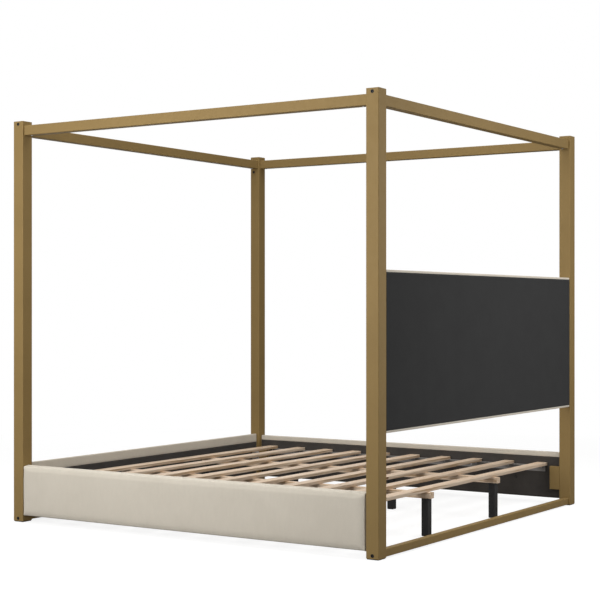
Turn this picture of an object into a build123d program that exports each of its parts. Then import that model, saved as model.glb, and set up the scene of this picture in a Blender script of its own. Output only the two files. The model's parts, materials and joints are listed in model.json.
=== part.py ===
from build123d import *
import os

# Four poster canopy bed, king size, in millimetres.
# +Z is up, +Y points to the head end, +X to the sleeper's left, and the floor is z = 0.
# The origin is on the floor, in the middle of the bed.

# ---------------------------------------------------------------- driving dimensions
LENGTH = 2112.0            # over the posts, head to foot
WIDTH = 2020.0             # over the posts, side to side
HEIGHT = 1972.0
POST = 63.0                # square post tube
STEEL_WALL = 1.2
GLIDE = 4.0                # plastic glide between a steel leg and the floor

CANOPY_RAIL_DEPTH = 45.0
CANOPY_RAIL_HEIGHT = 48.0
CANOPY_RAIL_TOP = 1950.0
FLOOR_RAIL_DEPTH = 30.0
FLOOR_RAIL_HEIGHT = 34.0
FLOOR_RAIL_RECESS = 10.0   # from the outer face of the posts

SIDE_RAIL_HEIGHTS = (30.0, 279.0)      # bottom and top of the upholstered side rails
SIDE_RAIL_THICK = 39.0
SIDE_LINING_TOP = 252.0    # above it, the velvet is turned over onto the inside
FOOT_PANEL_HEIGHTS = (38.0, 288.0)     # stands on the floor rail
FOOT_PANEL_THICK = 46.0
FOOT_LINING_TOP = 240.5
BOARD = 18.0               # board core of every upholstered rail

SLAT_COUNT = 10
SLAT_WIDTH = 60.0
SLAT_THICK = 16.0
SLAT_PITCH = 198.0
FIRST_SLAT = 173.0         # from the head face to the middle of the first slat
SLAT_TOP = 219.0
SLAT_END_GAP = 38.0        # from the outer side face to the slat's end

BEAM_OFFSET = 339.5        # beams and legs, from the middle of the bed
BEAM_WIDTH = 35.0
BEAM_HEIGHT = 28.5
BEAM_END = 121.0           # from the head or foot face to the beam's end
LEG = 35.0
LEG_ROWS = (905.0, 311.5, -311.5, -905.0)

HEADBOARD_BOTTOM = 525.0
HEADBOARD_TOP = 1214.0
HEADBOARD_THICK = 30.0
HEADBOARD_RECESS = 2.5     # from the head face of the posts

# ---------------------------------------------------------------- worked-out sizes
HALF_L = LENGTH / 2
HALF_W = WIDTH / 2
INNER_L = HALF_L - POST    # between the posts, from the middle
INNER_W = HALF_W - POST
POST_X = HALF_W - POST / 2
POST_Y = HALF_L - POST / 2
SLAT_BOTTOM = SLAT_TOP - SLAT_THICK
BEAM_BOTTOM = SLAT_BOTTOM - BEAM_HEIGHT
CANOPY_RAIL_Z = CANOPY_RAIL_TOP - CANOPY_RAIL_HEIGHT / 2
FLOOR_RAIL_Y = HALF_L - FLOOR_RAIL_RECESS - FLOOR_RAIL_DEPTH / 2
FLOOR_RAIL_Z = GLIDE + FLOOR_RAIL_HEIGHT / 2

CORNERS = {"head_left": (1, 1), "head_right": (-1, 1), "foot_left": (1, -1), "foot_right": (-1, -1)}
SIDES = {"left": 1, "right": -1}
ENDS = {"head": 1, "foot": -1}

# ---------------------------------------------------------------- small helpers


def block(x, y, z):
    """A box from its (low, high) extent along each axis, in either order."""
    (x0, x1), (y0, y1), (z0, z1) = sorted(x), sorted(y), sorted(z)
    centre = Pos((x0 + x1) / 2, (y0 + y1) / 2, (z0 + z1) / 2)
    return centre * Box(x1 - x0, y1 - y0, z1 - z0)


def tube_section(width, height, wall, radius):
    inner_radius = max(radius - wall, 0.5)
    inner = RectangleRounded(width - 2 * wall, height - 2 * wall, inner_radius)
    return RectangleRounded(width, height, radius) - inner


def tube_along_x(depth, height, wall, radius, length):
    return extrude(Plane.YZ * tube_section(depth, height, wall, radius), length / 2, both=True)


def tube_along_y(depth, height, wall, radius, length):
    return extrude(Plane.XZ * tube_section(depth, height, wall, radius), length / 2, both=True)


def facing(point, direction):
    """Places a shape drawn at the origin so that its +Z points along direction at point."""
    return Plane(origin=point, z_dir=direction).location


def round_hole(point, direction, radius, depth):
    """A cylinder that goes depth into the material from a surface point."""
    return facing(point, direction) * Pos(0, 0, -depth / 2) * Cylinder(radius, depth + 2)


def button_screw(shank_radius, length, head_radius, head_height, socket):
    """Button-head socket screw. The bearing face is z = 0, and the shank points down."""
    head = Pos(0, 0, head_height / 2) * Cylinder(head_radius, head_height)
    head = fillet(head.edges().group_by(Axis.Z)[-1], head_height * 0.7)
    hexagon = extrude(Plane.XY.offset(head_height * 0.35) * RegularPolygon(socket, 6), head_height)
    return head - hexagon + Pos(0, 0, -length / 2) * Cylinder(shank_radius, length)


def wood_screw(length):
    """Countersunk screw. Its head is flush with z = 0, and the point is down."""
    profile = Polyline((0, 0), (4.0, 0), (2.0, -2.4), (2.0, 4.0 - length), (0, -length), (0, 0))
    return revolve(Plane.XZ * make_face(profile), Axis.Z)


def save(name, *shapes):
    solids = [solid for shape in shapes for solid in shape.solids()]
    export_step(Compound(solids), f"parts/{name}.step")


# ---------------------------------------------------------------- posts
POST_RADIUS = 3.0
CAP_PLATE = 3.0
CAP_LIP = 5.0
GLIDE_INSERT = 6.0
PLUG_HEIGHTS = (17.0, 1957.0)      # plugs in the outer side face of every post
PLUG_HOLE = 6.5
PLUG_RIM = 7.8
INNER_PLUG_Z = 1881.0              # the extra plug on the inner side face of a foot post
INNER_PLUG_FROM_FOOT = 24.0
ANGLE_BOLT_Z = (110.0, 175.0)
ANGLE_BOLT_Y = -INNER_L - 8.0
ANGLE_BOLT_RADIUS = 3.0


def post_plug_places(sx, sy):
    """Surface points and outward directions of the plugs in one post."""
    places = [((sx * HALF_W, sy * POST_Y, z), (sx, 0, 0)) for z in PLUG_HEIGHTS]
    if sy < 0:
        places.append(((sx * INNER_W, -HALF_L + INNER_PLUG_FROM_FOOT, INNER_PLUG_Z), (-sx, 0, 0)))
    return places


def angle_bolt_places(sx):
    return [((sx * INNER_W, ANGLE_BOLT_Y, z), (-sx, 0, 0)) for z in ANGLE_BOLT_Z]


def post(sx, sy):
    section = tube_section(POST, POST, STEEL_WALL, POST_RADIUS)
    tube = extrude(Plane.XY.offset(GLIDE) * section, HEIGHT - GLIDE - CAP_PLATE)
    tube = Pos(sx * POST_X, sy * POST_Y, 0) * tube
    for point, direction in post_plug_places(sx, sy):
        tube -= round_hole(point, direction, PLUG_HOLE, STEEL_WALL)
    if sy < 0:
        for point, direction in angle_bolt_places(sx):
            tube -= round_hole(point, direction, ANGLE_BOLT_RADIUS, STEEL_WALL)
    return tube


def post_cap(sx, sy):
    """Welded plate that closes a post, with a lip that locates it in the tube."""
    plate = extrude(Plane.XY.offset(HEIGHT - CAP_PLATE) * RectangleRounded(POST, POST, POST_RADIUS), CAP_PLATE)
    plate = chamfer(plate.edges().group_by(Axis.Z)[-1], 0.8)
    inside = POST - 2 * STEEL_WALL
    lip = extrude(Plane.XY.offset(HEIGHT - CAP_PLATE - CAP_LIP) * tube_section(inside, inside, 2.0, 2.0), CAP_LIP)
    return Pos(sx * POST_X, sy * POST_Y, 0) * (plate + lip)


def foot_glide(size, inset, radius):
    """Plastic glide: a flange on the floor and a hollow plug in the tube above it."""
    flange = extrude(RectangleRounded(size - 2 * inset, size - 2 * inset, radius), GLIDE)
    flange = chamfer(flange.edges().group_by(Axis.Z)[0], 1.0)
    plug_size = size - 2 * STEEL_WALL
    return flange + extrude(Plane.XY.offset(GLIDE) * tube_section(plug_size, plug_size, 2.0, 2.0), GLIDE_INSERT)


def hole_plug():
    """Cup-shaped plastic plug. Its rim rests on z = 0, and the closed cup points down."""
    rim = Pos(0, 0, 0.6) * Cylinder(PLUG_RIM, 1.2)
    rim = fillet(rim.edges().group_by(Axis.Z)[-1], 0.5)
    cup = Pos(0, 0, -2.0) * Cylinder(PLUG_HOLE, 4.0)
    return rim + cup - Pos(0, 0, 0.5) * Cylinder(PLUG_HOLE - 1.0, 7.0)


def build_posts():
    for name, (sx, sy) in CORNERS.items():
        save(f"post_{name}", post(sx, sy))
    save("post_top_caps", *[post_cap(sx, sy) for sx, sy in CORNERS.values()])
    glide = foot_glide(POST, 2.0, 4.0)
    save("post_foot_glides", *[Pos(sx * POST_X, sy * POST_Y, 0) * glide for sx, sy in CORNERS.values()])
    places = [place for sx, sy in CORNERS.values() for place in post_plug_places(sx, sy)]
    save("post_hole_plugs", *[facing(point, direction) * hole_plug() for point, direction in places])


# ---------------------------------------------------------------- canopy and floor rails
RAIL_RADIUS = 3.0
SPIGOT_WALL = 2.0
SPIGOT_LENGTH = 55.0
SPIGOT_SLACK = 0.3                 # play of a rail on its spigot, on each side
LOCK_SCREW_FROM_POST = 30.0
LOCK_SCREW_RADIUS = 3.0
LOCK_SCREW_LENGTH = 9.0


def canopy_screw_places():
    """Locking screws in the underside of the canopy rails, one at each end."""
    z = CANOPY_RAIL_TOP - CANOPY_RAIL_HEIGHT
    along = INNER_L - LOCK_SCREW_FROM_POST
    across = INNER_W - LOCK_SCREW_FROM_POST
    side = [((sx * POST_X, sy * along, z), (0, 0, -1)) for sx, sy in CORNERS.values()]
    end = [((sx * across, sy * POST_Y, z), (0, 0, -1)) for sx, sy in CORNERS.values()]
    return side + end


def floor_screw_places():
    """Locking screws in the inward face of the floor rails, one at each end."""
    y = FLOOR_RAIL_Y - FLOOR_RAIL_DEPTH / 2
    x = INNER_W - LOCK_SCREW_FROM_POST
    return [((sx * x, sy * y, FLOOR_RAIL_Z), (0, -sy, 0)) for sx, sy in CORNERS.values()]


def drill(shape, places, radius, depth):
    """Cuts the holes whose places lie in the shape's own reach."""
    for point, direction in places:
        shape -= round_hole(point, direction, radius, depth)
    return shape


def spigot(depth, height):
    inner_depth = depth - 2 * (STEEL_WALL + SPIGOT_SLACK)
    inner_height = height - 2 * (STEEL_WALL + SPIGOT_SLACK)
    return inner_depth, inner_height, SPIGOT_WALL, RAIL_RADIUS - STEEL_WALL, SPIGOT_LENGTH


def build_steel_rails():
    size = (CANOPY_RAIL_DEPTH, CANOPY_RAIL_HEIGHT, STEEL_WALL, RAIL_RADIUS)
    canopy_screws = canopy_screw_places()
    floor_screws = floor_screw_places()
    for name, sx in SIDES.items():
        rail = Pos(sx * POST_X, 0, CANOPY_RAIL_Z) * tube_along_y(*size, 2 * INNER_L)
        save(f"canopy_rail_{name}", drill(rail, canopy_screws, LOCK_SCREW_RADIUS, STEEL_WALL))
    floor_size = (FLOOR_RAIL_DEPTH, FLOOR_RAIL_HEIGHT, STEEL_WALL, RAIL_RADIUS)
    for name, sy in ENDS.items():
        rail = Pos(0, sy * POST_Y, CANOPY_RAIL_Z) * tube_along_x(*size, 2 * INNER_W)
        save(f"canopy_rail_{name}", drill(rail, canopy_screws, LOCK_SCREW_RADIUS, STEEL_WALL))
        floor = Pos(0, sy * FLOOR_RAIL_Y, FLOOR_RAIL_Z) * tube_along_x(*floor_size, 2 * INNER_W)
        save(f"floor_rail_{name}", drill(floor, floor_screws, LOCK_SCREW_RADIUS, STEEL_WALL))

    reach = STEEL_WALL + SPIGOT_SLACK + SPIGOT_WALL
    canopy_spigot = spigot(CANOPY_RAIL_DEPTH, CANOPY_RAIL_HEIGHT)
    floor_spigot = spigot(FLOOR_RAIL_DEPTH, FLOOR_RAIL_HEIGHT)
    spigots = []
    for sx, sy in CORNERS.values():
        along = sy * (INNER_L - SPIGOT_LENGTH / 2)
        across = sx * (INNER_W - SPIGOT_LENGTH / 2)
        pieces = (
            (Pos(sx * POST_X, along, CANOPY_RAIL_Z) * tube_along_y(*canopy_spigot), canopy_screws),
            (Pos(across, sy * POST_Y, CANOPY_RAIL_Z) * tube_along_x(*canopy_spigot), canopy_screws),
            (Pos(across, sy * FLOOR_RAIL_Y, FLOOR_RAIL_Z) * tube_along_x(*floor_spigot), floor_screws),
        )
        spigots += [drill(shape, screws, LOCK_SCREW_RADIUS, reach) for shape, screws in pieces]
    save("rail_spigots", *spigots)
    screw = button_screw(LOCK_SCREW_RADIUS, LOCK_SCREW_LENGTH, 5.2, 3.0, 2.0)
    places = canopy_screws + floor_screws
    save("rail_locking_screws", *[facing(point, direction) * screw for point, direction in places])


# ---------------------------------------------------------------- upholstered rails
# Each is drawn lying along X, with its outer face on y = 0 and its inside at +y, and then
# turned into place. From the outside in: velvet, foam, board, lining.
VELVET = 1.5
LINING = 1.2
EDGE_FOAM = 8.0
END_SLACK = 0.5
SCREW_LENGTH = 18.0
HOOK_PLATE = 3.0
HOOK_PLATE_WIDTH = 45.0
HOOK_PLATE_HEIGHT = 110.0
BRACKET_LENGTH = 57.0
BRACKET_BOTTOM = 80.5
BRACKET_TOP = 202.5
BRACKET_SHEET = 3.0
HOOK_PIN_Z = (112.0, 172.0)
HOOK_PIN_RADIUS = 3.0
HOOK_PIN_INSET = 50.0              # from the outer side face
ACCESS_PLUG_INSET = 331.0          # from the head or foot face
ACCESS_PLUG_Z = 131.0
LEDGER_LENGTH = 1801.0
LEDGER_FLANGE = 30.0
LEDGER_LEG = 33.0
LEDGER_SHEET = 2.5
LEDGER_SCREWS = 6
ANGLE_LEG = 45.0                   # steel angles that hold the foot panel

SIDE_FACE = SIDE_RAIL_THICK - VELVET + 0.2      # inner face of the side rail's lining
FOOT_FACE = FOOT_PANEL_THICK - VELVET + 0.2


def upholstered_rail(half_length, thick, face, heights, lining_top):
    """Board, foam, velvet and lining of one rail, with its inner lining face at y = face."""
    low, high = heights
    end = half_length - END_SLACK
    inside = end - VELVET
    board_back = face - LINING
    board_box = ((-inside + EDGE_FOAM, inside - EDGE_FOAM), (board_back - BOARD, board_back))
    board = block(*board_box, (low + VELVET, high - VELVET - EDGE_FOAM))
    foam = block((-inside, inside), (VELVET, board_back), (low + VELVET, high - VELVET)) - board
    lining = block((-inside, inside), (board_back, face), (low + VELVET, lining_top))
    velvet = block((-end, end), (0, thick), (low, high))
    velvet -= block((-inside, inside), (VELVET, thick - VELVET), (low + VELVET, high - VELVET))
    velvet -= block((-end - 1, end + 1), (board_back, thick + 1), (low - 1, lining_top))
    return board, foam, velvet, lining


def side_turn(sx):
    """Carries a rail drawn along X to the side at sx, with its inside towards the middle."""
    return Pos(sx * HALF_W, 0, 0) * Rot(0, 0, 90 * sx)


def foot_turn():
    return Pos(0, -HALF_L, 0)


def hook_plate_screw_places(sy):
    """Screws of one hook plate, in the lying rail's own frame."""
    middle = sy * (INNER_L - BRACKET_LENGTH / 2)
    z = (BRACKET_BOTTOM + BRACKET_TOP) / 2
    reach_x = HOOK_PLATE_WIDTH / 2 - 8
    reach_z = HOOK_PLATE_HEIGHT / 2 - 8
    face = SIDE_FACE + HOOK_PLATE
    corners = [(ix, iz) for ix in (-1, 1) for iz in (-1, 1)]
    return [((middle + ix * reach_x, face, z + iz * reach_z), (0, 1, 0)) for ix, iz in corners]


def ledger_screw_places():
    step = LEDGER_LENGTH / LEDGER_SCREWS
    start = -LEDGER_LENGTH / 2 + step / 2
    z = SLAT_BOTTOM - LEDGER_LEG * 0.55
    face = SIDE_FACE + LEDGER_SHEET
    return [((start + i * step, face, z), (0, 1, 0)) for i in range(LEDGER_SCREWS)]


def angle_screw_places(sx):
    """Wood screws of one foot angle, in the lying foot panel's own frame."""
    face = FOOT_FACE + BRACKET_SHEET
    xs = (INNER_W - 16, INNER_W - ANGLE_LEG + 10)
    zs = (BRACKET_BOTTOM + 14, BRACKET_TOP - 14)
    return [((sx * x, face, z), (0, 1, 0)) for x in xs for z in zs]


def access_plug_places():
    x = HALF_L - ACCESS_PLUG_INSET
    return [((sy * x, SIDE_FACE, ACCESS_PLUG_Z), (0, 1, 0)) for sy in (1, -1)]


def screws_at(places):
    screw = wood_screw(SCREW_LENGTH)
    return [facing(point, direction) * screw for point, direction in places]


def cut_all(shape, cutters):
    for cutter in cutters:
        shape -= cutter
    return shape


def hook_plate(sy):
    """Plate with two hooks that drop over the pins of a bracket box, in the lying rail's frame."""
    middle = sy * (INNER_L - BRACKET_LENGTH / 2)
    z = (BRACKET_BOTTOM + BRACKET_TOP) / 2
    half_w, half_h = HOOK_PLATE_WIDTH / 2, HOOK_PLATE_HEIGHT / 2
    face = SIDE_FACE + HOOK_PLATE
    plate = block((middle - half_w, middle + half_w), (SIDE_FACE, face), (z - half_h, z + half_h))
    nose = HOOK_PIN_INSET + 7.5
    for pin_z in HOOK_PIN_Z:
        hook = block((middle - 2, middle + 2), (face, nose), (pin_z - 7, pin_z + 14))
        slot = block((middle - 3, middle + 3), (HOOK_PIN_INSET - 3.2, HOOK_PIN_INSET + 3.2), (pin_z - 8, pin_z))
        slot += Pos(middle, HOOK_PIN_INSET, pin_z) * Rot(0, 90, 0) * Cylinder(3.2, 6)
        plate += hook - slot
    return plate


def bracket_box(sy):
    """Folded steel box on the post, open towards the rail, in the lying rail's frame."""
    low, high = INNER_L - BRACKET_LENGTH, INNER_L
    inner = POST - BRACKET_SHEET
    box = block((low, high), (SIDE_FACE + 0.3, POST), (BRACKET_BOTTOM, BRACKET_TOP))
    box = fillet(box.edges().filter_by(Axis.Z).group_by(Axis.Y)[-1].sort_by(Axis.X)[0], 2.5)
    cavity_x = (low + BRACKET_SHEET, high - BRACKET_SHEET)
    cavity_z = (BRACKET_BOTTOM + BRACKET_SHEET, BRACKET_TOP - BRACKET_SHEET)
    box -= block(cavity_x, (SIDE_FACE - 1, inner), cavity_z)
    return box if sy > 0 else mirror(box, Plane.YZ)


def hook_pins(sy):
    middle = sy * (INNER_L - BRACKET_LENGTH / 2)
    pin = Rot(0, 90, 0) * Cylinder(HOOK_PIN_RADIUS, BRACKET_LENGTH - 2 * BRACKET_SHEET)
    return [Pos(middle, HOOK_PIN_INSET, z) * pin for z in HOOK_PIN_Z]


def ledger():
    """Steel angle under the slat ends, in the lying rail's frame."""
    outer = (SIDE_FACE, SIDE_FACE + LEDGER_FLANGE)
    half = LEDGER_LENGTH / 2
    flange = block((-half, half), outer, (SLAT_BOTTOM - LEDGER_SHEET, SLAT_BOTTOM))
    leg = block((-half, half), (SIDE_FACE, SIDE_FACE + LEDGER_SHEET), (SLAT_BOTTOM - LEDGER_LEG, SLAT_BOTTOM))
    return flange + leg


def ledger_pilots():
    """Holes for the slat screws in the flanges of both ledgers."""
    tops = [point for index in range(SLAT_COUNT) for point, direction in slat_screw_places(index)]
    return [Pos(x, y, SLAT_BOTTOM) * Cylinder(2.0, 10.0) for x, y, z in tops if abs(x) > BEAM_OFFSET]


def foot_angle(sx):
    """Steel angle between the foot panel's lining and the post, in the foot panel's frame."""
    z = (BRACKET_BOTTOM, BRACKET_TOP)
    on_panel = block((sx * INNER_W, sx * (INNER_W - ANGLE_LEG)), (FOOT_FACE, FOOT_FACE + BRACKET_SHEET), z)
    on_post = block((sx * INNER_W, sx * (INNER_W - BRACKET_SHEET)), (FOOT_FACE, POST), z)
    return on_panel + on_post


def build_side_rails():
    hook_screws = [place for sy in (1, -1) for place in hook_plate_screw_places(sy)]
    ledger_screws = ledger_screw_places()
    lying_screws = screws_at(hook_screws + ledger_screws)
    plug = hole_plug()
    plugs = [facing(point, direction) * plug for point, direction in access_plug_places()]
    plug_holes = [round_hole(point, direction, PLUG_HOLE, 6.0) for point, direction in access_plug_places()]
    board, foam, velvet, lining = upholstered_rail(INNER_L, SIDE_RAIL_THICK, SIDE_FACE, SIDE_RAIL_HEIGHTS, SIDE_LINING_TOP)
    board = cut_all(board, lying_screws + plug_holes)
    lining = cut_all(lining, lying_screws + plug_holes)
    plates = [cut_all(hook_plate(sy), screws_at(hook_plate_screw_places(sy))) for sy in (1, -1)]
    lying_ledger = cut_all(ledger(), screws_at(ledger_screws))
    boxes = [bracket_box(sy) for sy in (1, -1)]
    pins = [pin for sy in (1, -1) for pin in hook_pins(sy)]

    for name, sx in SIDES.items():
        turn = side_turn(sx)
        save(f"side_rail_board_{name}", turn * board)
        save(f"side_rail_padding_{name}", turn * foam)
        save(f"side_rail_cover_{name}", turn * velvet)
        save(f"side_rail_lining_{name}", turn * lining)
        save(f"slat_ledger_{name}", cut_all(turn * lying_ledger, ledger_pilots()))
    turns = [side_turn(sx) for sx in SIDES.values()]
    save("corner_brackets", *[turn * box for turn in turns for box in boxes])
    save("bracket_hook_pins", *[turn * pin for turn in turns for pin in pins])
    save("rail_hook_plates", *[turn * plate for turn in turns for plate in plates])
    save("rail_access_plugs", *[turn * each for turn in turns for each in plugs])
    return [turn * screw for turn in turns for screw in lying_screws]


def build_foot_panel():
    places = angle_screw_places(1) + angle_screw_places(-1)
    lying_screws = screws_at(places)
    board, foam, velvet, lining = upholstered_rail(INNER_W, FOOT_PANEL_THICK, FOOT_FACE, FOOT_PANEL_HEIGHTS, FOOT_LINING_TOP)
    turn = foot_turn()
    save("foot_panel_board", turn * cut_all(board, lying_screws))
    save("foot_panel_padding", turn * foam)
    save("foot_panel_cover", turn * velvet)
    save("foot_panel_lining", turn * cut_all(lining, lying_screws))
    bolts = [place for sx in (1, -1) for place in angle_bolt_places(sx)]
    angles = [cut_all(turn * foot_angle(sx), [turn * screw for screw in lying_screws]) for sx in (1, -1)]
    bolt_holes = [facing(point, direction) * Cylinder(ANGLE_BOLT_RADIUS, 12) for point, direction in bolts]
    save("foot_panel_angles", *[cut_all(angle, bolt_holes) for angle in angles])
    bolt = Pos(0, 0, BRACKET_SHEET) * button_screw(ANGLE_BOLT_RADIUS, 12.0, 5.2, 3.0, 2.0)
    save("foot_panel_bolts", *[facing(point, direction) * bolt for point, direction in bolts])
    return [turn * screw for screw in lying_screws]


# ---------------------------------------------------------------- slats, beams and centre legs
HANGER_BOLT_RADIUS = 4.0
HANGER_BOLT_UP = 16.0
LEG_TOP_PLATE = 3.0


def slat_y(index):
    return HALF_L - FIRST_SLAT - index * SLAT_PITCH


def slat_screw_places(index):
    """Two screws into the ledgers and two into the beams."""
    ledger_x = HALF_W - SIDE_FACE - LEDGER_FLANGE / 2
    return [((x, slat_y(index), SLAT_TOP), (0, 0, 1)) for x in (-ledger_x, -BEAM_OFFSET, BEAM_OFFSET, ledger_x)]


def build_slats():
    """Slats with eased edges. Returns their screws, which also go into the ledgers and beams."""
    half = HALF_W - SLAT_END_GAP
    section = Plane.YZ * RectangleRounded(SLAT_WIDTH, SLAT_THICK, 2.0)
    bar = Pos(0, 0, SLAT_TOP - SLAT_THICK / 2) * extrude(section, half, both=True)
    bar &= extrude(RectangleRounded(2 * half, SLAT_WIDTH, 2.5), SLAT_TOP + 10)
    screw = wood_screw(SLAT_THICK + 14.0)
    screws = []
    for index in range(SLAT_COUNT):
        own = [facing(point, direction) * screw for point, direction in slat_screw_places(index)]
        save(f"slat_{index + 1:02d}", cut_all(Pos(0, slat_y(index), 0) * bar, own))
        screws += own
    save("slat_screws", *screws)


def centre_leg():
    """Square tube leg with a welded top plate, in its own place at x = y = 0."""
    tube = extrude(Plane.XY.offset(GLIDE) * tube_section(LEG, LEG, STEEL_WALL, 1.5), BEAM_BOTTOM - GLIDE)
    inside = LEG - 2 * STEEL_WALL
    plate_z = BEAM_BOTTOM - LEG_TOP_PLATE
    plate = extrude(Plane.XY.offset(plate_z) * RectangleRounded(inside + 0.5, inside + 0.5, 0.6), LEG_TOP_PLATE)
    hole = Pos(0, 0, BEAM_BOTTOM) * Cylinder(HANGER_BOLT_RADIUS, 20)
    return tube + plate - hole


def hanger_bolt():
    length = HANGER_BOLT_UP + 12.0
    return Pos(0, 0, BEAM_BOTTOM + HANGER_BOLT_UP - length / 2) * Cylinder(HANGER_BOLT_RADIUS, length)


def build_beams():
    half = HALF_L - BEAM_END
    middle = Pos(0, 0, BEAM_BOTTOM + BEAM_HEIGHT / 2)
    bar = middle * extrude(Plane.XZ * RectangleRounded(BEAM_WIDTH, BEAM_HEIGHT, 1.5), half, both=True)
    leg = centre_leg()
    bolt = hanger_bolt()
    glide = foot_glide(LEG, 0.5, 1.5)
    pilot = Pos(0, 0, SLAT_BOTTOM) * Cylinder(2.0, 32.0)
    slat_rows = [slat_y(index) for index in range(SLAT_COUNT)]
    bolts, glides = [], []
    for name, sx in SIDES.items():
        x = sx * BEAM_OFFSET
        cutters = [Pos(x, y, 0) * bolt for y in LEG_ROWS] + [Pos(x, y, 0) * pilot for y in slat_rows]
        save(f"centre_beam_{name}", cut_all(Pos(x, 0, 0) * bar, cutters))
        save(f"centre_legs_{name}", *[Pos(x, y, 0) * leg for y in LEG_ROWS])
        bolts += [Pos(x, y, 0) * bolt for y in LEG_ROWS]
        glides += [Pos(x, y, 0) * glide for y in LEG_ROWS]
    save("leg_hanger_bolts", *bolts)
    save("leg_foot_glides", *glides)


# ---------------------------------------------------------------- headboard
BACK_BAND = 10.0                   # velvet turned onto the back at the top and bottom
FRAME_DEPTH = 18.0
FRAME_WIDTH = 45.0
FACE_PLY = 3.0
STUD_HEIGHTS = (650.0, 1080.0)
STUD_RADIUS = 3.2
STUD_HEAD_RADIUS = 5.0
STUD_REACH = 5.2                   # from the post to the back of the stud's head
KEYHOLE_PLATE = 2.5
KEYHOLE_PLATE_HALF = 8.0

BACK_Y = HALF_L - HEADBOARD_RECESS
FRONT_Y = BACK_Y - HEADBOARD_THICK
FRAME_BACK = BACK_Y - VELVET
FRAME_FRONT = FRAME_BACK - FRAME_DEPTH
STUD_Y = (FRAME_BACK + FRAME_FRONT) / 2
PLATE_Y = (STUD_Y - KEYHOLE_PLATE_HALF, STUD_Y + KEYHOLE_PLATE_HALF)


def headboard_shell():
    """Velvet cover: front, top, bottom and ends, with narrow bands on the back."""
    end = INNER_W - END_SLACK
    x, inner_x = (-end, end), (-end + VELVET, end - VELVET)
    shell = block(x, (FRONT_Y, BACK_Y), (HEADBOARD_BOTTOM, HEADBOARD_TOP))
    shell -= block(inner_x, (FRONT_Y + VELVET, FRAME_BACK), (HEADBOARD_BOTTOM + VELVET, HEADBOARD_TOP - VELVET))
    window_z = (HEADBOARD_BOTTOM + BACK_BAND, HEADBOARD_TOP - BACK_BAND)
    return shell - block(inner_x, (FRAME_BACK - 1, BACK_Y + 1), window_z)


def headboard_timbers():
    """Two rails and five stiles of the inner frame."""
    half = INNER_W - END_SLACK - VELVET
    low, high = HEADBOARD_BOTTOM + VELVET, HEADBOARD_TOP - VELVET
    y = (FRAME_FRONT, FRAME_BACK)
    timbers = [block((-half, half), y, (low, low + FRAME_WIDTH)), block((-half, half), y, (high - FRAME_WIDTH, high))]
    stile_z = (low + FRAME_WIDTH, high - FRAME_WIDTH)
    spacing = (half - FRAME_WIDTH / 2) / 2
    for step in (-2, -1, 0, 1, 2):
        x = step * spacing
        timbers.append(block((x - FRAME_WIDTH / 2, x + FRAME_WIDTH / 2), y, stile_z))
    return timbers


def stud(sx, z):
    """Shoulder stud on the inner face of a head post."""
    shape = Pos(0, 0, STUD_REACH / 2) * Cylinder(STUD_RADIUS, STUD_REACH)
    shape += Pos(0, 0, STUD_REACH + 1.75) * Cylinder(STUD_HEAD_RADIUS, 3.5)
    return facing((sx * INNER_W, STUD_Y, z), (-sx, 0, 0)) * shape


def keyhole(z, radius, slot_radius, depth):
    """Keyhole cutter along X: a round mouth below and a slot up to height z."""
    mouth = Pos(0, STUD_Y, z - 22) * Rot(0, 90, 0) * Cylinder(radius, depth)
    top = Pos(0, STUD_Y, z) * Rot(0, 90, 0) * Cylinder(slot_radius, depth)
    slot = block((-depth / 2, depth / 2), (STUD_Y - slot_radius, STUD_Y + slot_radius), (z - 22, z))
    return mouth + top + slot


def keyhole_plate(sx, z):
    half = INNER_W - END_SLACK - VELVET
    plate = block((half - KEYHOLE_PLATE, half), PLATE_Y, (z - 45, z + 25))
    plate -= Pos(half, 0, 0) * keyhole(z, STUD_HEAD_RADIUS + 0.6, STUD_RADIUS + 0.4, 20)
    return plate if sx > 0 else mirror(plate, Plane.YZ)


def build_headboard():
    half = INNER_W - END_SLACK - VELVET
    cover = headboard_shell()
    timbers = headboard_timbers()
    for z in STUD_HEIGHTS:
        for sx in (1, -1):
            recess = block((sx * (half - KEYHOLE_PLATE), sx * (half + 1)), PLATE_Y, (z - 45, z + 25))
            pocket = Pos(sx * half, 0, 0) * keyhole(z, STUD_HEAD_RADIUS + 1, STUD_HEAD_RADIUS + 1, 20)
            timbers = [cut_all(timber, (recess, pocket)) for timber in timbers]
            cover -= Pos(sx * (half + 5), 0, 0) * keyhole(z, STUD_HEAD_RADIUS + 1, STUD_HEAD_RADIUS + 1, 16)
    save("headboard_cover", cover)
    save("headboard_frame", *timbers)
    low, high = HEADBOARD_BOTTOM + VELVET, HEADBOARD_TOP - VELVET
    save("headboard_face_board", block((-half, half), (FRAME_FRONT - FACE_PLY, FRAME_FRONT), (low, high)))
    save("headboard_padding", block((-half, half), (FRONT_Y + VELVET, FRAME_FRONT - FACE_PLY), (low, high)))
    window_z = (HEADBOARD_BOTTOM + BACK_BAND, HEADBOARD_TOP - BACK_BAND)
    save("headboard_back_cloth", block((-half, half), (FRAME_BACK, FRAME_BACK + LINING), window_z))
    places = [(sx, z) for sx in (1, -1) for z in STUD_HEIGHTS]
    save("headboard_studs", *[stud(sx, z) for sx, z in places])
    save("headboard_keyhole_plates", *[keyhole_plate(sx, z) for sx, z in places])


# ---------------------------------------------------------------- the whole bed
os.makedirs("parts", exist_ok=True)
build_posts()
build_steel_rails()
save("rail_wood_screws", *(build_side_rails() + build_foot_panel()))
build_slats()
build_beams()
build_headboard()
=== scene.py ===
import json
import math

import bpy
from mathutils import Matrix, Vector, noise


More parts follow.
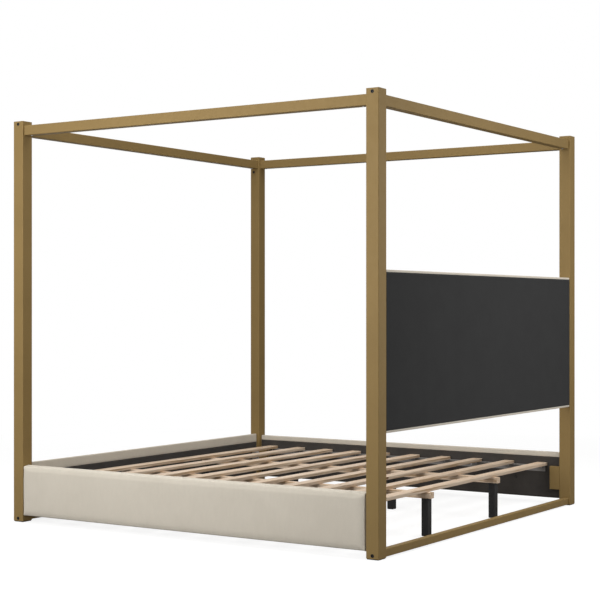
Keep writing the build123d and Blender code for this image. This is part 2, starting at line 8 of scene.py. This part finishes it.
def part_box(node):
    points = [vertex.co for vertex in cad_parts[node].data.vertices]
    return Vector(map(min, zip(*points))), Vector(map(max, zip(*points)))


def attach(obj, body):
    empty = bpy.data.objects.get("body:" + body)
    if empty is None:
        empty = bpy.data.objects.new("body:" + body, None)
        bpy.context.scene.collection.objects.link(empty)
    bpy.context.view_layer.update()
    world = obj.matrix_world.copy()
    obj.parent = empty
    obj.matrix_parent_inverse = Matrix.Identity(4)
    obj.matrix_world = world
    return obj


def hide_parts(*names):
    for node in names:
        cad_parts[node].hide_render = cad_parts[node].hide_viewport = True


# Looks for the four poster canopy bed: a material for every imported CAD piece, padded velvet and lining
# cloth in place of the plain soft ones, and a plain studio around them. Everything is in metres, in the
# bed's own frame: +X to the sleeper's left, +Y to the head end, +Z up, origin on the floor in the middle.

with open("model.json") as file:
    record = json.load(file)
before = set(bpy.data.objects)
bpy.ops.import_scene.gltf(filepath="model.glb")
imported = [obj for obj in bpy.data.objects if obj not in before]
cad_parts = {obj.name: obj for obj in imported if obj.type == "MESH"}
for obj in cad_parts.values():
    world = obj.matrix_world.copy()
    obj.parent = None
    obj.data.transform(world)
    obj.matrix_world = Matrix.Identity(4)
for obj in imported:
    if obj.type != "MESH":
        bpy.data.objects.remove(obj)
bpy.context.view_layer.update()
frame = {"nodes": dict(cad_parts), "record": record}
MM = 0.001

# ---------------------------------------------------------------- node helpers

MIX_FACTOR, MIX_FIRST, MIX_SECOND, MIX_RESULT = 0, 6, 7, 2     # sockets of a Mix node set to colour


def is_output(value):
    """Whether a value is a (node, output) pair to link, and not a plain vector or colour."""
    return isinstance(value, tuple) and isinstance(value[0], bpy.types.Node)


def add(tree, kind, inputs=None, **props):
    """A shader node. An input is a value, or a (node, output) pair to link."""
    made = tree.nodes.new(kind)
    for key, value in props.items():
        setattr(made, key, value)
    for key, value in (inputs or {}).items():
        if is_output(value):
            tree.links.new(value[0].outputs[value[1]], made.inputs[key])
        else:
            made.inputs[key].default_value = value
    return made


def material(name, **values):
    """(material, tree, principled node), with constants set on the shader's own sockets."""
    made = bpy.data.materials.new(name)
    made.use_nodes = True
    tree = made.node_tree
    tree.nodes.clear()
    shader = add(tree, "ShaderNodeBsdfPrincipled", values)
    add(tree, "ShaderNodeOutputMaterial", {"Surface": (shader, 0)})
    return made, tree, shader


def place(tree, scale=(1, 1, 1)):
    """Position in the bed's own frame, in metres, scaled."""
    where = add(tree, "ShaderNodeTexCoord")
    return add(tree, "ShaderNodeMapping", {"Vector": (where, "Object"), "Scale": scale})


def grain(tree, where, scale, detail=4.0, roughness=0.55, distortion=0.0):
    return add(tree, "ShaderNodeTexNoise", {
        "Vector": (where, 0), "Scale": scale, "Detail": detail,
        "Roughness": roughness, "Distortion": distortion})


def spread(tree, source, low, high, start=0.3, end=0.7):
    """Maps a texture value from start..end onto low..high."""
    return add(tree, "ShaderNodeMapRange", {
        "Value": source, "From Min": start, "From Max": end, "To Min": low, "To Max": high})


def ramp(tree, source, stops):
    made = add(tree, "ShaderNodeValToRGB", {"Fac": source})
    elements = made.color_ramp.elements
    while len(elements) < len(stops):
        elements.new(0.5)
    for element, (position, colour) in zip(elements, stops):
        element.position = position
        element.color = (*colour, 1)
    return made


def times(tree, colour, factor):
    """A colour node's output multiplied by a value node's."""
    return add(tree, "ShaderNodeVectorMath", {0: (colour, 0), 1: (factor, 0)}, operation="MULTIPLY")


def blend(tree, factor, first, colour):
    """Mixes a node's colour towards a plain colour, by a value node."""
    return add(tree, "ShaderNodeMix", {
        MIX_FACTOR: (factor, 0), MIX_FIRST: (first, 0), MIX_SECOND: (*colour, 1)},
        data_type="RGBA", clamp_result=True)


def bump(tree, shader, height, strength, distance, below=None):
    """Relief on the shader, over the relief of another bump node if one is given."""
    inputs = {"Height": (height, 0), "Strength": strength, "Distance": distance}
    if below:
        inputs["Normal"] = (below, 0)
    made = add(tree, "ShaderNodeBump", inputs)
    tree.links.new(made.outputs[0], shader.inputs["Normal"])
    return made


def wire(tree, node, shader, socket, output=0):
    tree.links.new(node.outputs[output], shader.inputs[socket])


# ---------------------------------------------------------------- materials


def powder_coat(name, light, dark, metallic, roughness, flecks=0.1):
    """Coated steel: slight clouds of tone, fine flecks, uneven gloss and fine orange peel."""
    made, tree, shader = material(name, Metallic=metallic)
    shader.inputs["Specular IOR Level"].default_value = 0.22
    clouds = grain(tree, place(tree), scale=5.0, detail=3.0)
    colour = ramp(tree, (clouds, 0), ((0.35, dark), (0.65, light)))
    fleck = grain(tree, place(tree), scale=1400.0, detail=2.0)
    wire(tree, times(tree, colour, spread(tree, (fleck, 0), 1 - flecks, 1 + flecks)), shader, "Base Color")
    wear = grain(tree, place(tree), scale=38.0, detail=5.0, roughness=0.65)
    wire(tree, spread(tree, (wear, 0), roughness - 0.05, roughness + 0.06), shader, "Roughness")
    peel = grain(tree, place(tree), scale=620.0, detail=2.0)
    bump(tree, shader, peel, strength=0.22, distance=0.0002)
    return made


def velvet():
    """Short pile with a sheen: slow changes of tone, faint brushed strokes and a fine nap."""
    made, tree, shader = material("velvet_cloth", Roughness=0.86)
    shader.inputs["Sheen Weight"].default_value = 0.55
    shader.inputs["Sheen Roughness"].default_value = 0.38
    shader.inputs["Sheen Tint"].default_value = (1.0, 0.96, 0.87, 1)
    shader.inputs["Specular IOR Level"].default_value = 0.18
    tone = grain(tree, place(tree), scale=7.0, detail=4.0, roughness=0.6, distortion=0.6)
    strokes = grain(tree, place(tree, (1, 1, 0.28)), scale=60.0, detail=4.0, roughness=0.6, distortion=0.4)
    base = ramp(tree, (tone, 0), ((0.30, (0.600, 0.548, 0.462)), (0.70, (0.628, 0.575, 0.487))))
    streaked = times(tree, base, spread(tree, (strokes, 0), 0.985, 1.015))
    pile = grain(tree, place(tree, (1, 1, 0.7)), scale=1500.0, detail=3.0, roughness=0.7)
    wire(tree, times(tree, streaked, spread(tree, (pile, 0), 0.88, 1.11)), shader, "Base Color")
    soft = bump(tree, shader, strokes, strength=0.07, distance=0.0010)
    bump(tree, shader, pile, strength=0.5, distance=0.0005, below=soft)
    return made


def non_woven(name, light, dark):
    """Spun cloth: pressed dots in rows over matted fibres."""
    made, tree, shader = material(name, Roughness=0.93)
    shader.inputs["Specular IOR Level"].default_value = 0.2
    shader.inputs["Sheen Weight"].default_value = 0.08
    fibres = grain(tree, place(tree), scale=300.0, detail=6.0, roughness=0.7, distortion=1.2)
    mottle = grain(tree, place(tree), scale=11.0, detail=4.0, roughness=0.6)
    mixed = add(tree, "ShaderNodeMath", {0: (fibres, 0), 1: (mottle, 0)}, operation="ADD")
    share = spread(tree, (mixed, 0), 0.0, 1.0, start=0.7, end=1.3)
    wire(tree, ramp(tree, (share, 0), ((0.1, dark), (0.9, light))), shader, "Base Color")
    dots = add(tree, "ShaderNodeTexVoronoi", {"Vector": (place(tree), 0), "Scale": 360.0, "Randomness": 0.12})
    pressed = spread(tree, (dots, 0), 0.0, 1.0, start=0.1, end=0.45)
    matted = bump(tree, shader, fibres, strength=0.25, distance=0.0003)
    bump(tree, shader, pressed, strength=0.4, distance=0.0003, below=matted)
    return made


TONE_STEP = 0.099      # half the slats' spacing, so each slat falls in a step of its own


def pine(name, along):
    """Planed pine with its grain along the given axis, a tone of its own for each board, and a few knots."""
    made, tree, shader = material(name)
    shader.inputs["Specular IOR Level"].default_value = 0.35

    def scaled(rest, share):
        """Position with one scale along the board and another across it."""
        return place(tree, tuple(share if axis == along else rest for axis in range(3)))

    where = scaled(1.0, 0.045)
    rings = add(tree, "ShaderNodeTexWave", {
        "Vector": (where, 0), "Scale": 26.0, "Distortion": 9.0, "Detail": 3.0,
        "Detail Scale": 1.6, "Detail Roughness": 0.6}, wave_type="RINGS", rings_direction="XYZ"[along])
    fibre = grain(tree, where, scale=420.0, detail=5.0, roughness=0.65)
    lines = add(tree, "ShaderNodeMath", {0: (rings, 1), 1: (fibre, 0)}, operation="ADD")
    lines = spread(tree, (lines, 0), 0.0, 1.0, start=0.35, end=1.35)
    wood = ramp(tree, (lines, 0), (
        (0.0, (0.430, 0.272, 0.150)), (0.30, (0.565, 0.400, 0.255)),
        (0.62, (0.665, 0.505, 0.365)), (1.0, (0.720, 0.575, 0.435))))

    across = 1 if along == 0 else 0
    where_is = add(tree, "ShaderNodeSeparateXYZ", {0: (place(tree), 0)})
    board = add(tree, "ShaderNodeMath", {0: (where_is, across), 1: TONE_STEP}, operation="SNAP")
    own = add(tree, "ShaderNodeTexWhiteNoise", {"W": (board, 0)}, noise_dimensions="1D")
    toned = times(tree, wood, spread(tree, (own, 0), 0.88, 1.06, start=0.0, end=1.0))
    patches = grain(tree, scaled(1.0, 0.35), scale=6.0, detail=2.0)
    patched = times(tree, toned, spread(tree, (patches, 0), 0.93, 1.05))

    cells = add(tree, "ShaderNodeTexVoronoi", {"Vector": (scaled(9.0, 4.2), 0), "Scale": 1.0})
    knot = spread(tree, (cells, 0), 1.0, 0.0, start=0.035, end=0.075)
    wire(tree, blend(tree, knot, patched, (0.16, 0.075, 0.03)), shader, "Base Color", MIX_RESULT)
    wire(tree, spread(tree, (fibre, 0), 0.50, 0.66), shader, "Roughness")
    deep = bump(tree, shader, lines, strength=0.25, distance=0.0004)
    bump(tree, shader, fibre, strength=0.2, distance=0.0002, below=deep)
    return made


def zinc():
    """Plated steel, faintly cloudy in colour and gloss."""
    made, tree, shader = material("zinc_plate", Metallic=1.0)
    tint = grain(tree, place(tree), scale=160.0, detail=3.0)
    colour = ramp(tree, (tint, 0), ((0.3, (0.50, 0.50, 0.53)), (0.7, (0.62, 0.61, 0.60))))
    wire(tree, colour, shader, "Base Color")
    gloss = grain(tree, place(tree), scale=500.0)
    wire(tree, spread(tree, (gloss, 0), 0.26, 0.42), shader, "Roughness")
    return made


def moulded(name, light, dark, roughness):
    """Moulded plastic or cut foam, with a fine even texture."""
    made, tree, shader = material(name)
    shader.inputs["Specular IOR Level"].default_value = 0.45
    mottle = grain(tree, place(tree), scale=90.0, detail=3.0)
    wire(tree, ramp(tree, (mottle, 0), ((0.3, dark), (0.7, light))), shader, "Base Color")
    wire(tree, spread(tree, (mottle, 0), roughness - 0.06, roughness + 0.06), shader, "Roughness")
    texture = grain(tree, place(tree), scale=2200.0, detail=2.0)
    bump(tree, shader, texture, strength=0.3, distance=0.0001)
    return made


LOOKS = {
    "gold_steel": powder_coat("gold_coat", (0.284, 0.189, 0.070), (0.268, 0.178, 0.066), 0.18, 0.56),
    "black_steel": powder_coat("black_coat", (0.036, 0.036, 0.037), (0.029, 0.029, 0.030), 0.0, 0.40, 0.2),
    "grey_steel": powder_coat("grey_coat", (0.270, 0.255, 0.240), (0.225, 0.212, 0.200), 0.2, 0.48),
    "zinc_steel": zinc(),
    "black_plastic": moulded("black_moulded", (0.010, 0.010, 0.010), (0.006, 0.006, 0.006), 0.55),
    "velvet": velvet(),
    "lining": non_woven("rail_lining_cloth", (0.066, 0.059, 0.053), (0.047, 0.042, 0.038)),
    "back_cloth": non_woven("back_cloth", (0.028, 0.028, 0.028), (0.024, 0.024, 0.024)),
    "pine": pine("pine_slat", 0),
    "core_wood": pine("core_wood", 0),
    "foam": moulded("cut_foam", (0.74, 0.70, 0.56), (0.68, 0.63, 0.50), 0.9),
}
BEAM_PINE = pine("pine_beam", 1)      # the beams run lengthwise, so their grain does too

slots = {entry["node"]: entry["material_slot"] for entry in frame["record"]["subparts"]}
for node_name, piece in frame["nodes"].items():
    look = BEAM_PINE if node_name.startswith("centre_beam") else LOOKS[slots[node_name]]
    piece.data.materials.clear()
    piece.data.materials.append(look)

# ---------------------------------------------------------------- soft pieces
# Each padded panel is drawn lying along X, with its padded face towards -Y and its back at +Y,
# and then carried to its place in the bed.

# radii of the velvet's end, top and bottom edges, and of every edge where it turns onto the back
SIDE_RADII = (3 * MM, 7 * MM, 5 * MM)
BOARD_RADII = (5 * MM, 9 * MM, 9 * MM)
BACK_RADIUS = 4 * MM
STEP = 1.2 * MM           # half the width of the slope between a velvet band and the lining beside it
STEP_MARGIN = 3 * MM      # a band edge nearer to the panel's own edge than this needs no slope
ON_BACK = 0.1 * MM        # points this close to the back's plane belong to the back
TACKED = 9 * MM           # this close to the back, the cloth is held and doesn't swell
SMOOTH_REAR = 6 * MM      # this close to the back, the face's fullness and ripples don't reach
BACK_DIP = 2.0 * MM       # how far the back falls off at the panel's edges
BACK_SLACK = 0.6 * MM     # the sides stay this far short of the back's plane
CLOSE_OVER = 3 * MM       # cloth this close over a board's edge can't sink
BOARD_EASE = 7 * MM       # in front of the board, where it comes to be held up
LINE_GAP = 0.4 * MM       # grid lines closer than this are merged
PANEL_CELLS = (15 * MM, 8 * MM, 13 * MM)

# the cloth simulation
FRAMES = 20
PRESSURE = 4.0
MOST_MOVE = 4.5 * MM
STRETCH_STIFFNESS, BEND_STIFFNESS = 25, 4

# the padded face: how its fullness falls off towards the ends and edges, its ripples, and its overhang
# past the ends, as a share of how far it stands proud and of the panel's half length
END_FALL, END_POWER, EDGE_POWER = 0.45, 60, 3
FACE_FADE = 4 * MM
SLOW_RIPPLE, QUICK_RIPPLE = 0.3 * MM, 0.1 * MM
OVERHANG, OVERHANG_SHARE = 0.6, 0.008

# the lining cloth: double in its turned-under hem, and thinner by a share inside it
HEM = 12 * MM
HEM_SLOPE = 2 * MM
SINGLE_THINNER = 0.45
SHEET_CELL = 12 * MM
SHEET_RIPPLE = 0.12 * MM
SHEET_GAP = 0.2 * MM      # between the lining and the board behind it

PAST_EDGE = 1             # a band that goes over the panel's edge ends this far beyond it


def smooth(value, start, end):
    """0 before start, 1 after end, and an S-curve between them."""
    t = min(max((value - start) / (end - start), 0.0), 1.0)
    return t * t * (3 - 2 * t)


def stations(low, high, edge, step, extra=()):
    """Grid lines between low and high: close together near both ends, and at the extra places."""
    fine = [edge * share for share in (0.0, 0.12, 0.3, 0.55, 0.8, 1.0)]
    count = max(2, round((high - low - 2 * edge) / step))
    middle = [low + edge + (high - low - 2 * edge) * i / count for i in range(1, count)]
    lines = sorted([low + f for f in fine] + middle + [high - f for f in fine] + list(extra))
    kept = [lines[0]]
    for line in lines[1:]:
        if line - kept[-1] > LINE_GAP:
            kept.append(line)
    return kept


def shell_grid(xs, ys, zs):
    """Vertices and quads over the outside of a box of grid lines."""
    index, points, faces = {}, [], []

    def corner(i, j, k):
        if (i, j, k) not in index:
            index[i, j, k] = len(points)
            points.append(Vector((xs[i], ys[j], zs[k])))
        return index[i, j, k]

    def quad(corners, flip):
        made = [corner(*cell) for cell in corners]
        faces.append(made[::-1] if flip else made)

    nx, ny, nz = len(xs) - 1, len(ys) - 1, len(zs) - 1
    for k, flip in ((0, True), (nz, False)):
        for i in range(nx):
            for j in range(ny):
                quad([(i, j, k), (i + 1, j, k), (i + 1, j + 1, k), (i, j + 1, k)], flip)
    for j, flip in ((0, False), (ny, True)):
        for i in range(nx):
            for k in range(nz):
                quad([(i, j, k), (i + 1, j, k), (i + 1, j, k + 1), (i, j, k + 1)], flip)
    for i, flip in ((0, True), (nx, False)):
        for j in range(ny):
            for k in range(nz):
                quad([(i, j, k), (i, j + 1, k), (i, j + 1, k + 1), (i, j, k + 1)], flip)
    return points, faces


def make_object(name, points, faces, look):
    mesh = bpy.data.meshes.new(name)
    mesh.from_pydata([tuple(p) for p in points], [], faces)
    mesh.materials.append(look)
    for polygon in mesh.polygons:
        polygon.use_smooth = True
    piece = bpy.data.objects.new(name, mesh)
    bpy.context.collection.objects.link(piece)
    return piece


def puff(piece, pinned):
    """Inflates the cloth a little with a cloth simulation, and limits how far each point moves."""
    group = piece.vertex_groups.new(name="tacked")
    group.add(pinned, 1.0, "REPLACE")
    cloth = piece.modifiers.new("Cloth", "CLOTH")
    cloth.settings.vertex_group_mass = "tacked"
    cloth.settings.effector_weights.gravity = 0.0
    cloth.settings.use_pressure = True
    cloth.settings.uniform_pressure_force = PRESSURE
    cloth.settings.quality = 5
    cloth.settings.tension_stiffness = STRETCH_STIFFNESS
    cloth.settings.compression_stiffness = STRETCH_STIFFNESS
    cloth.settings.bending_stiffness = BEND_STIFFNESS
    for step in range(1, FRAMES + 1):
        bpy.context.scene.frame_set(step)
    solved = piece.evaluated_get(bpy.context.evaluated_depsgraph_get()).to_mesh()
    ends = [vertex.co.copy() for vertex in solved.vertices]
    piece.evaluated_get(bpy.context.evaluated_depsgraph_get()).to_mesh_clear()
    piece.modifiers.clear()
    piece.vertex_groups.clear()
    for vertex, end in zip(piece.data.vertices, ends):
        move = end - vertex.co
        if move.length > MOST_MOVE:
            move *= MOST_MOVE / move.length
        vertex.co += move
    bpy.context.scene.frame_set(1)


def padded_panel(name, half, thick, low, high, radii, crown, back, bands, board, carry, replaced):
    """A board wrapped in foam and velvet. radii are those of the end, top and bottom edges, and crown is
    how far the middle stands proud. bands are the (start, end) heights where the velvet lies on the
    back, which is otherwise at depth back, under the lining. board is the (front depth, bottom, top) of
    the board inside, which holds up the cloth that lies close over its top or bottom edge."""
    end_radius, radius, low_radius = radii
    middle_z, half_z = (low + high) / 2, (high - low) / 2

    def on_the_back(point):
        """Flush in the bands, sunk under the lining, and eased off at the edges."""
        edge_x = smooth(half - abs(point.x), 0, end_radius)
        edge_z = smooth(half_z - abs(point.z - middle_z), 0, BACK_RADIUS)
        wrap = max(smooth(point.z, start - STEP, start + STEP) * smooth(end - point.z, -STEP, STEP)
                   for start, end in bands)
        depth = back + (thick - back) * wrap
        return Vector((
            point.x - math.copysign((1 - edge_x) * MM, point.x),
            depth - (1 - edge_x * edge_z) * BACK_DIP,
            point.z - math.copysign((1 - edge_z) * MM, point.z - middle_z)))

    def rounded(point):
        """On the face or a side, with the panel's edges rounded."""
        core = Vector((
            min(max(point.x, -half + end_radius), half - end_radius),
            min(max(point.y, radius), thick - BACK_RADIUS),
            min(max(point.z, low + low_radius), high - radius)))
        reach = Vector((
            end_radius,
            radius if point.y < thick - BACK_RADIUS else BACK_RADIUS,
            radius if point.z > middle_z else low_radius))
        out = Vector([(point - core)[axis] / reach[axis] for axis in range(3)])
        placed = core + out.normalized() * reach if out.length > 1e-9 else point.copy()
        placed.y = min(placed.y, thick - BACK_SLACK)
        return placed

    steps = [edge + shift for band in bands for edge in band for shift in (-STEP, STEP)
             if low + STEP_MARGIN < edge < high - STEP_MARGIN]
    cell_x, cell_y, cell_z = PANEL_CELLS
    points, faces = shell_grid(
        stations(-half, half, end_radius, cell_x),
        stations(0, thick, radius, cell_y),
        stations(low, high, radius, cell_z, steps))
    shaped = [on_the_back(p) if p.y > thick - ON_BACK else rounded(p) for p in points]
    piece = make_object(name, shaped, faces, LOOKS["velvet"])
    puff(piece, [number for number, point in enumerate(points) if point.y > thick - TACKED])

    board_front, board_low, board_high = board
    for vertex, drawn in zip(piece.data.vertices, shaped):
        over = drawn.z - middle_z
        close = high - board_high if over > 0 else board_low - low
        sunk = math.copysign(1, over) * (drawn.z - vertex.co.z)
        if close < CLOSE_OVER and sunk > 0:
            held = smooth(drawn.y, board_front - BOARD_EASE, board_front)
            vertex.co.z += math.copysign(sunk * held, over)
    for vertex in piece.data.vertices:
        at = vertex.co
        if at.y < thick - SMOOTH_REAR:
            slow = noise.noise(Vector((at.x * 7, at.y * 7, at.z * 9)) + Vector((3.1, half * 10, 0.7)))
            quick = noise.noise(Vector((at.x * 26, at.y * 26, at.z * 22)) + Vector((8.3, 1.7, half * 6)))
            u, v = at.x / half, (at.z - middle_z) / half_z
            belly = (1 - END_FALL * abs(u) ** END_POWER) * (1 - abs(v) ** EDGE_POWER)
            front = smooth(radius - at.y, -FACE_FADE, radius)
            at.y -= front * (belly * crown + SLOW_RIPPLE * slow + QUICK_RIPPLE * quick)
            past_end = OVERHANG * max(-at.y, 0.0) * smooth(abs(u), 1 - OVERHANG_SHARE, 1.0)
            at.x += math.copysign(past_end, at.x)
    piece.data.transform(carry)
    piece.data.update()
    finer = piece.modifiers.new("Finer", "SUBSURF")
    finer.levels = finer.render_levels = 1
    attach(piece, "root")
    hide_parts(*replaced)


def hemmed_stations(low, high):
    """Grid lines over a sheet from edge to edge, with closer ones at its fold and at its hem."""
    count = max(8, round((high - low) / SHEET_CELL))
    inset = [0.0, 0.5 * MM, HEM - 1.5 * MM, HEM + 1.5 * MM]
    middle = [low + HEM + (high - low - 2 * HEM) * i / count for i in range(1, count)]
    return [low + i for i in inset] + middle + [high - i for i in inset[::-1]]


def tacked_sheet(name, half, low, high, depth, gauge, carry, slot, replaced):
    """Lining cloth pulled flat over a panel's back, with its edges turned under."""
    xs, zs = hemmed_stations(-half, half), hemmed_stations(low, high)
    points, faces = [], []
    for z in zs:
        for x in xs:
            inside = min(half - abs(x), z - low, high - z)
            single = 1 - SINGLE_THINNER * smooth(inside, HEM - HEM_SLOPE, HEM + HEM_SLOPE)
            height = gauge * single * smooth(inside, -0.6 * MM, 0.5 * MM)
            height += SHEET_RIPPLE * noise.noise(Vector((x * 9, z * 9, half * 3)))
            points.append(Vector((x, depth + height, z)))
    row = len(xs)
    for k in range(len(zs) - 1):
        for i in range(row - 1):
            a = k * row + i
            faces.append((a, a + row, a + row + 1, a + 1))
    piece = make_object(name, points, faces, LOOKS[slot])
    piece.data.transform(carry)
    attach(piece, "root")
    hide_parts(*replaced)


def build_side_rails():
    """Both rails have the left rail's measures. The right one is turned to face the other way."""
    low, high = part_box("side_rail_cover_left")
    lining_low, lining_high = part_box("side_rail_lining_left")
    back = high.x - lining_high.x - SHEET_GAP
    board_low, board_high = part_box("side_rail_board_left")
    board = (high.x - board_high.x, board_low.z, board_high.z)
    for side, sign in (("left", 1), ("right", -1)):
        carry = Matrix.Translation((sign * high.x, 0, 0)) @ Matrix.Rotation(math.radians(90 * sign), 4, "Z")
        padded_panel(f"velvet_rail_{side}", high.y, high.x - low.x, low.z, high.z, SIDE_RADII, 3.5 * MM, back,
                     [(lining_high.z, high.z + PAST_EDGE)], board, carry,
                     (f"side_rail_cover_{side}", f"side_rail_padding_{side}"))
        tacked_sheet(f"lining_rail_{side}", lining_high.y, lining_low.z, lining_high.z, back,
                     lining_high.x - lining_low.x, carry, "lining", (f"side_rail_lining_{side}",))


def build_foot_panel():
    low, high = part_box("foot_panel_cover")
    lining_low, lining_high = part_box("foot_panel_lining")
    back = lining_low.y - low.y - SHEET_GAP
    board_low, board_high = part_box("foot_panel_board")
    board = (board_low.y - low.y, board_low.z, board_high.z)
    carry = Matrix.Translation((0, low.y, 0))
    padded_panel("velvet_foot_panel", high.x, high.y - low.y, low.z, high.z, SIDE_RADII, 2.0 * MM, back,
                 [(lining_high.z, high.z + PAST_EDGE)], board, carry,
                 ("foot_panel_cover", "foot_panel_padding"))
    tacked_sheet("lining_foot_panel", lining_high.x, lining_low.z, lining_high.z, back,
                 lining_high.y - lining_low.y, carry, "lining", ("foot_panel_lining",))


def build_headboard():
    low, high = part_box("headboard_cover")
    cloth_low, cloth_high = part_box("headboard_back_cloth")
    back = cloth_low.y - low.y
    board_low, board_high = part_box("headboard_face_board")
    board = (board_low.y - low.y, board_low.z, board_high.z)
    carry = Matrix.Translation((0, low.y, 0))
    bands = [(cloth_high.z, high.z + PAST_EDGE), (low.z - PAST_EDGE, cloth_low.z)]
    padded_panel("velvet_headboard", high.x, high.y - low.y, low.z, high.z, BOARD_RADII, 2.0 * MM, back,
                 bands, board, carry, ("headboard_cover", "headboard_padding"))
    tacked_sheet("back_cloth_headboard", cloth_high.x, cloth_low.z, cloth_high.z, back,
                 cloth_high.y - cloth_low.y, carry, "back_cloth", ("headboard_back_cloth",))


build_side_rails()
build_foot_panel()
build_headboard()

# ---------------------------------------------------------------- stage, light and camera

FLOOR_HALF = 40.0
FLOOR_GREY = (0.30, 0.30, 0.30, 1)       # what the paper sends back, for shadows and bounced light
FLOOR_LIFT = (0.78, 0.78, 0.78, 1)       # what the camera sees on top of that, near the bed
FLOOR_FADE = (2.4, 5.0)                  # from the bed's middle, where the floor turns to plain white
WHITE = (1, 1, 1, 1)
SKY_LIGHT = 0.20


def plain_floor():
    mesh = bpy.data.meshes.new("floor")
    corners = [(x * FLOOR_HALF, y * FLOOR_HALF, 0) for x, y in ((-1, -1), (1, -1), (1, 1), (-1, 1))]
    mesh.from_pydata(corners, [], [(0, 1, 2, 3)])
    made = bpy.data.materials.new("floor_paper")
    made.use_nodes = True
    tree = made.node_tree
    tree.nodes.clear()
    path = add(tree, "ShaderNodeLightPath")
    paper = add(tree, "ShaderNodeBsdfDiffuse", {"Color": FLOOR_GREY})
    glow = add(tree, "ShaderNodeEmission", {"Color": WHITE, "Strength": (path, "Is Camera Ray")})
    lift = add(tree, "ShaderNodeEmission", {"Color": FLOOR_LIFT, "Strength": (path, "Is Camera Ray")})
    near = add(tree, "ShaderNodeAddShader", {0: (paper, 0), 1: (lift, 0)})
    distance = add(tree, "ShaderNodeVectorMath", {0: (place(tree), 0)}, operation="LENGTH")
    share = spread(tree, (distance, "Value"), 0.0, 1.0, *FLOOR_FADE)
    both = add(tree, "ShaderNodeMixShader", {0: (share, 0), 1: (near, 0), 2: (glow, 0)})
    add(tree, "ShaderNodeOutputMaterial", {"Surface": (both, 0)})
    mesh.materials.append(made)
    floor = bpy.data.objects.new("floor", mesh)
    bpy.context.collection.objects.link(floor)


def aimed(direction):
    return direction.to_track_quat("-Z", "Y").to_euler()


def softbox(name, position, target, width, height, power):
    light = bpy.data.lights.new(name, "AREA")
    light.shape = "RECTANGLE"
    light.size, light.size_y = width, height
    light.energy = power
    piece = bpy.data.objects.new(name, light)
    piece.location = position
    piece.rotation_euler = aimed(Vector(target) - Vector(position))
    bpy.context.collection.objects.link(piece)


def sky():
    """White to the camera, and a weak even light to everything else."""
    world = bpy.data.worlds.new("studio")
    bpy.context.scene.world = world
    world.use_nodes = True
    tree = world.node_tree
    tree.nodes.clear()
    path = add(tree, "ShaderNodeLightPath")
    seen = add(tree, "ShaderNodeBackground", {"Color": WHITE, "Strength": 1.0})
    lit = add(tree, "ShaderNodeBackground", {"Color": WHITE, "Strength": SKY_LIGHT})
    mixed = add(tree, "ShaderNodeMixShader", {0: (path, "Is Camera Ray"), 1: (lit, 0), 2: (seen, 0)})
    add(tree, "ShaderNodeOutputWorld", {"Surface": (mixed, 0)})


def make_camera():
    """Level, at the photograph's viewing angle, shifted a little for its framing."""
    data = bpy.data.cameras.new("camera")
    data.sensor_width = 36.0
    data.lens = 85.45
    data.shift_x = -0.1267
    data.shift_y = 0.0144
    camera = bpy.data.objects.new("camera", data)
    camera.location = (6.067, 4.145, 1.0493)
    camera.rotation_euler = aimed(Vector((-0.8524, -0.5229, 0.0)))
    bpy.context.collection.objects.link(camera)
    bpy.context.scene.camera = camera
    bpy.context.scene.view_settings.view_transform = "Standard"


plain_floor()
sky()
softbox("key", (3.3, -0.5, 1.85), (0, -0.2, 0.9), 3.6, 2.4, 88)
softbox("fill", (-0.3, 2.3, 1.5), (-0.1, 0, 0.9), 2.8, 2.4, 29)
softbox("top", (0.0, 0.0, 5.2), (0, 0, 0), 4.0, 4.0, 160)
softbox("rim", (-4.5, -4.2, 2.0), (0, 0, 0.7), 4.0, 3.0, 60)
make_camera()
